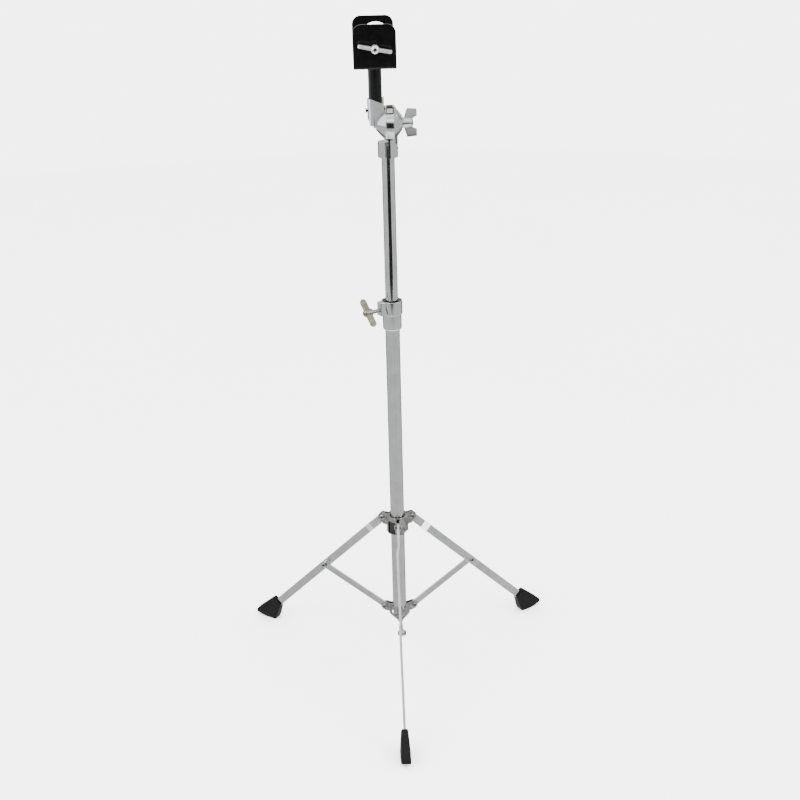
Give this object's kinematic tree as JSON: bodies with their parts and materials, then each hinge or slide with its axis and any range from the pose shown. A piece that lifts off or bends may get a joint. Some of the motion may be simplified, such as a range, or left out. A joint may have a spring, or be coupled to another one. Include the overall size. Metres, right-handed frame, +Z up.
{
  "type": "cowbell stand",
  "caption": "Folding chrome tripod stand with telescoping tubes, tilting ratchet joint and a black U clamp with a wing screw that grips a cowbell's block.",
  "frame": {"origin": "on the floor, on the axis of the two tubes", "axes": "+Z up along the tubes; -Y towards the front leg and the clamp's wing screw; +X towards the tilter's wing nut"},
  "size_m": [0.5125, 0.4457, 1.0463],
  "materials": {
    "chrome_plate": "polished chrome plate on steel",
    "dull_nickel": "dull nickel plate on pressed steel",
    "zinc_fasteners": "bright zinc plate",
    "nickel_casting": "nickel plated casting, slightly warm and satin",
    "bright_casting": "bright plated casting, satin",
    "black_enamel": "gloss black enamel on steel",
    "black_oxide": "blackened steel",
    "black_rubber": "matt moulded rubber",
    "black_nylon": "moulded nylon"
  },
  "bodies": {
    "base": {"lower_tube": "chrome_plate", "leg_hub": "dull_nickel", "hub_rivets": "zinc_fasteners", "height_collar": "chrome_plate", "collar_bush": "black_nylon"},
    "height_screw": {"height_wing_screw": "nickel_casting"},
    "upper": {"upper_tube": "chrome_plate", "upper_tube_plug": "black_nylon", "tilter_sleeve": "chrome_plate", "sleeve_pin": "zinc_fasteners", "tilter_band": "chrome_plate", "tilter_cap_right": "chrome_plate", "ratchet_right": "black_oxide", "tilter_bolt": "zinc_fasteners", "tilter_washer": "zinc_fasteners"},
    "tilt_head": {"tilter_cap_left": "chrome_plate", "ratchet_left": "black_oxide", "tilter_receiver": "chrome_plate", "rod_set_screw": "black_oxide"},
    "tilter_nut": {"tilter_wing_nut": "chrome_plate"},
    "clamp": {"clamp_rod": "black_enamel", "clamp_bracket": "black_enamel", "clamp_rear_plate": "black_enamel", "clamp_rod_screw": "zinc_fasteners", "clamp_nut": "black_enamel"},
    "clamp_pad": {"clamp_pad": "black_rubber"},
    "clamp_screw": {"clamp_wing_screw": "bright_casting"},
    "leg_collar": {"leg_collar": "dull_nickel", "leg_collar_bush": "black_nylon", "leg_collar_rivets": "zinc_fasteners"},
    "leg_collar_screw": {"leg_collar_screw": "nickel_casting"},
    "brace_front": {"brace_front": "chrome_plate"},
    "leg_front": {"leg_front": "chrome_plate", "foot_front": "black_rubber", "mid_rivet_front": "zinc_fasteners"},
    "brace_right": {"brace_right": "chrome_plate"},
    "leg_right": {"leg_right": "chrome_plate", "foot_right": "black_rubber", "mid_rivet_right": "zinc_fasteners"},
    "brace_left": {"brace_left": "chrome_plate"},
    "leg_left": {"leg_left": "chrome_plate", "foot_left": "black_rubber", "mid_rivet_left": "zinc_fasteners"}
  },
  "joints": [
    {"name": "height_slide", "type": "slide", "parent": "base", "child": "upper", "axis": [0, 0, 1], "range_m": [-0.21, 0.18]},
    {"name": "height_screw_turn", "type": "hinge", "parent": "base", "child": "height_screw", "pos_m": [0, 0, 0.6258], "axis": [-0.8746, -0.4848, 0], "continuous": true},
    {"name": "tilt", "type": "hinge", "parent": "upper", "child": "tilt_head", "pos_m": [0, 0, 0.904], "axis": [1, 0, 0], "range_deg": [-85, 85]},
    {"name": "tilter_nut_turn", "type": "hinge", "parent": "upper", "child": "tilter_nut", "pos_m": [0.03, 0, 0.904], "axis": [1, 0, 0], "continuous": true},
    {"name": "clamp_turn", "type": "hinge", "parent": "tilt_head", "child": "clamp", "pos_m": [-0.0158, 0, 0.95], "axis": [0, 0, 1], "continuous": true},
    {"name": "clamp_travel", "type": "slide", "parent": "clamp", "child": "clamp_pad", "axis": [-0.0227, 0.9997, 0], "range_m": [-0.036, 0.004]},
    {"name": "clamp_screw_turn", "type": "hinge", "parent": "clamp_pad", "child": "clamp_screw", "pos_m": [-0.0158, 0, 1.0156], "axis": [-0.0227, 0.9997, 0], "continuous": true},
    {"name": "leg_spread", "type": "hinge", "parent": "base", "child": "brace_front", "pos_m": [0.00051, -0.0265, 0.091], "axis": [-0.9998, -0.0192, 0], "range_deg": [0, 24]},
    {"name": "brace_right_pivot", "type": "hinge", "parent": "base", "child": "brace_right", "pos_m": [0.02269, 0.01369, 0.091], "axis": [0.5165, -0.8563, 0], "range_deg": [0, 24]},
    {"name": "brace_left_pivot", "type": "hinge", "parent": "base", "child": "brace_left", "pos_m": [-0.0232, 0.01281, 0.091], "axis": [0.4833, 0.8755, 0], "range_deg": [0, 24]},
    {"name": "leg_front_pivot", "type": "hinge", "parent": "brace_front", "child": "leg_front", "pos_m": [0.00276, -0.14397, 0.14], "axis": [0.9998, 0.0192, 0], "range_deg": [0, 36.5]},
    {"name": "leg_right_pivot", "type": "hinge", "parent": "brace_right", "child": "leg_right", "pos_m": [0.1233, 0.07438, 0.14], "axis": [-0.5165, 0.8563, 0], "range_deg": [0, 36.5]},
    {"name": "leg_left_pivot", "type": "hinge", "parent": "brace_left", "child": "leg_left", "pos_m": [-0.12607, 0.06959, 0.14], "axis": [-0.4833, -0.8755, 0], "range_deg": [0, 36.5]},
    {"name": "leg_collar_slide", "type": "slide", "parent": "base", "child": "leg_collar", "axis": [0, 0, 1], "range_m": [0, 0.0682]},
    {"name": "leg_collar_screw_turn", "type": "hinge", "parent": "leg_collar", "child": "leg_collar_screw", "pos_m": [0, 0.03, 0.2565], "axis": [0, 1, 0], "continuous": true}
  ],
  "couplings": [
    {"joint": "brace_right_pivot", "follows": "leg_spread", "ratio": 1},
    {"joint": "brace_left_pivot", "follows": "leg_spread", "ratio": 1},
    {"joint": "leg_front_pivot", "follows": "leg_spread", "ratio": 1.5156},
    {"joint": "leg_right_pivot", "follows": "leg_spread", "ratio": 1.5156},
    {"joint": "leg_left_pivot", "follows": "leg_spread", "ratio": 1.5156},
    {"joint": "leg_collar_slide", "follows": "leg_spread", "m_per_rad": 0.16133}
  ]
}
